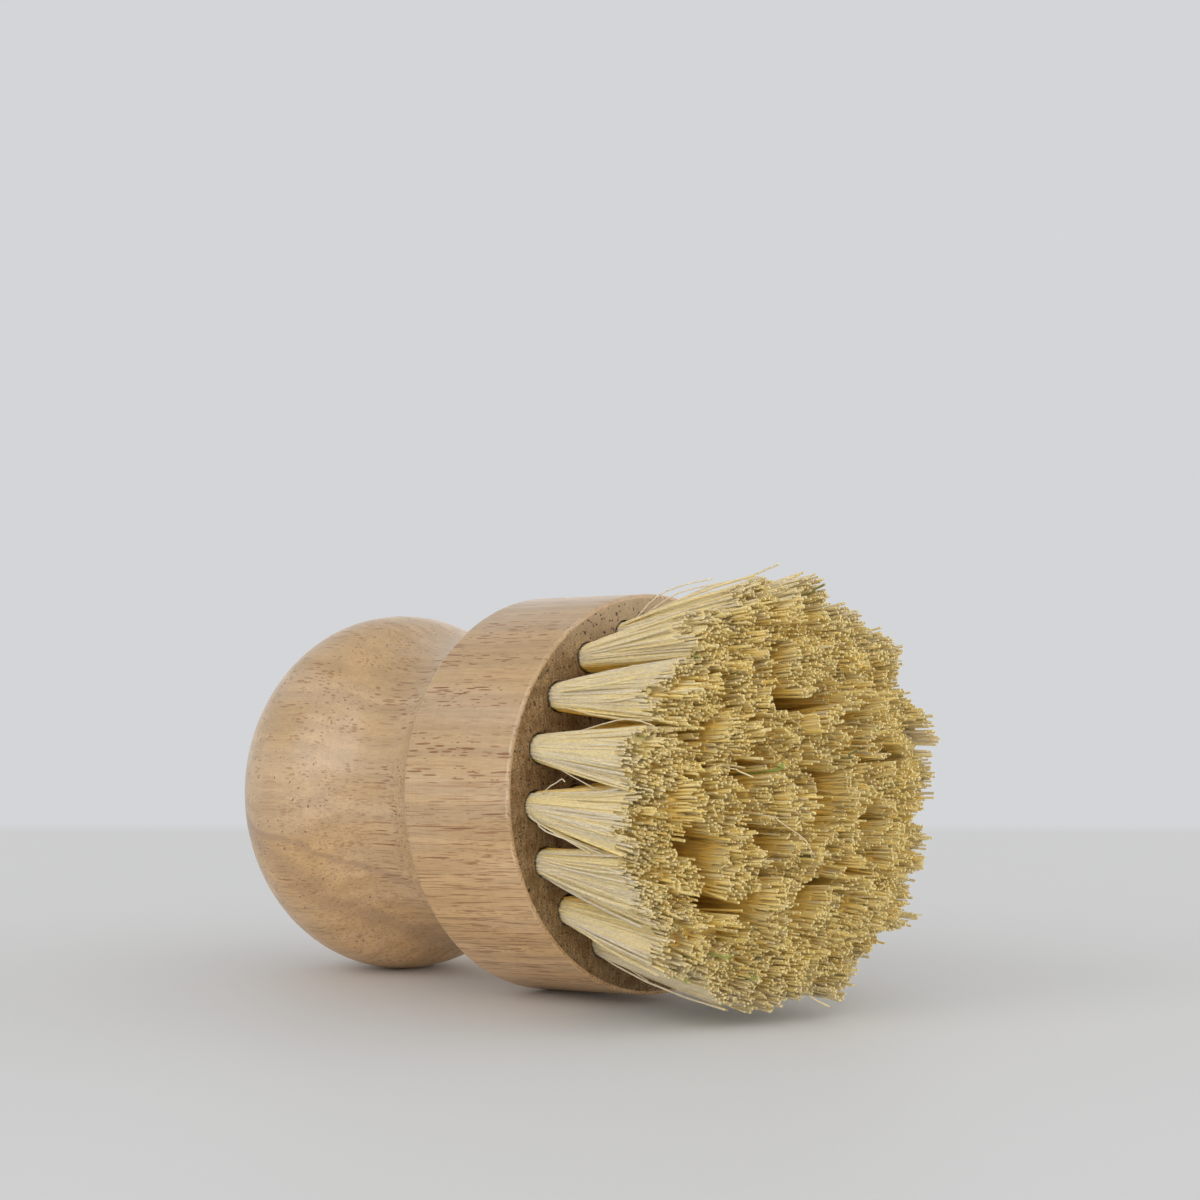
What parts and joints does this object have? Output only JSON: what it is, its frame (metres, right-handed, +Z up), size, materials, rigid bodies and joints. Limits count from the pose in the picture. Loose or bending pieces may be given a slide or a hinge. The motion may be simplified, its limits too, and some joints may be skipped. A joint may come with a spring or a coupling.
{
  "type": "dish brush",
  "caption": "Palm dish brush with a turned wooden knob handle and a round head of stiff, splayed plant-fibre tufts, lying on its side.",
  "frame": {"origin": "middle of the underside of the bounding box, on the surface that the brush lies on", "axes": "+Z up; +X from the knob towards the fibres, along the surface; the brush's own axis rises from +X by 3.16 degrees"},
  "size_m": [0.091, 0.0572, 0.0578],
  "materials": {
    "turned_wood": "satin lacquer on pale open-pored wood",
    "plant_fibre": "dry, stiff, pale yellow plant fibre"
  },
  "bodies": {
    "root": {"handle": "turned_wood", "tuft_centre": "plant_fibre", "tuft_inner_01": "plant_fibre", "tuft_inner_02": "plant_fibre", "tuft_inner_03": "plant_fibre", "tuft_inner_04": "plant_fibre", "tuft_inner_05": "plant_fibre", "tuft_inner_06": "plant_fibre", "tuft_middle_01": "plant_fibre", "tuft_middle_02": "plant_fibre", "tuft_middle_03": "plant_fibre", "tuft_middle_04": "plant_fibre", "tuft_middle_05": "plant_fibre", "tuft_middle_06": "plant_fibre", "tuft_middle_07": "plant_fibre", "tuft_middle_08": "plant_fibre", "tuft_middle_09": "plant_fibre", "tuft_middle_10": "plant_fibre", "tuft_middle_11": "plant_fibre", "tuft_middle_12": "plant_fibre", "tuft_outer_01": "plant_fibre", "tuft_outer_02": "plant_fibre", "tuft_outer_03": "plant_fibre", "tuft_outer_04": "plant_fibre", "tuft_outer_05": "plant_fibre", "tuft_outer_06": "plant_fibre", "tuft_outer_07": "plant_fibre", "tuft_outer_08": "plant_fibre", "tuft_outer_09": "plant_fibre", "tuft_outer_10": "plant_fibre", "tuft_outer_11": "plant_fibre", "tuft_outer_12": "plant_fibre", "tuft_outer_13": "plant_fibre", "tuft_outer_14": "plant_fibre", "tuft_outer_15": "plant_fibre", "tuft_outer_16": "plant_fibre", "tuft_outer_17": "plant_fibre", "tuft_outer_18": "plant_fibre"}
  },
  "joints": []
}
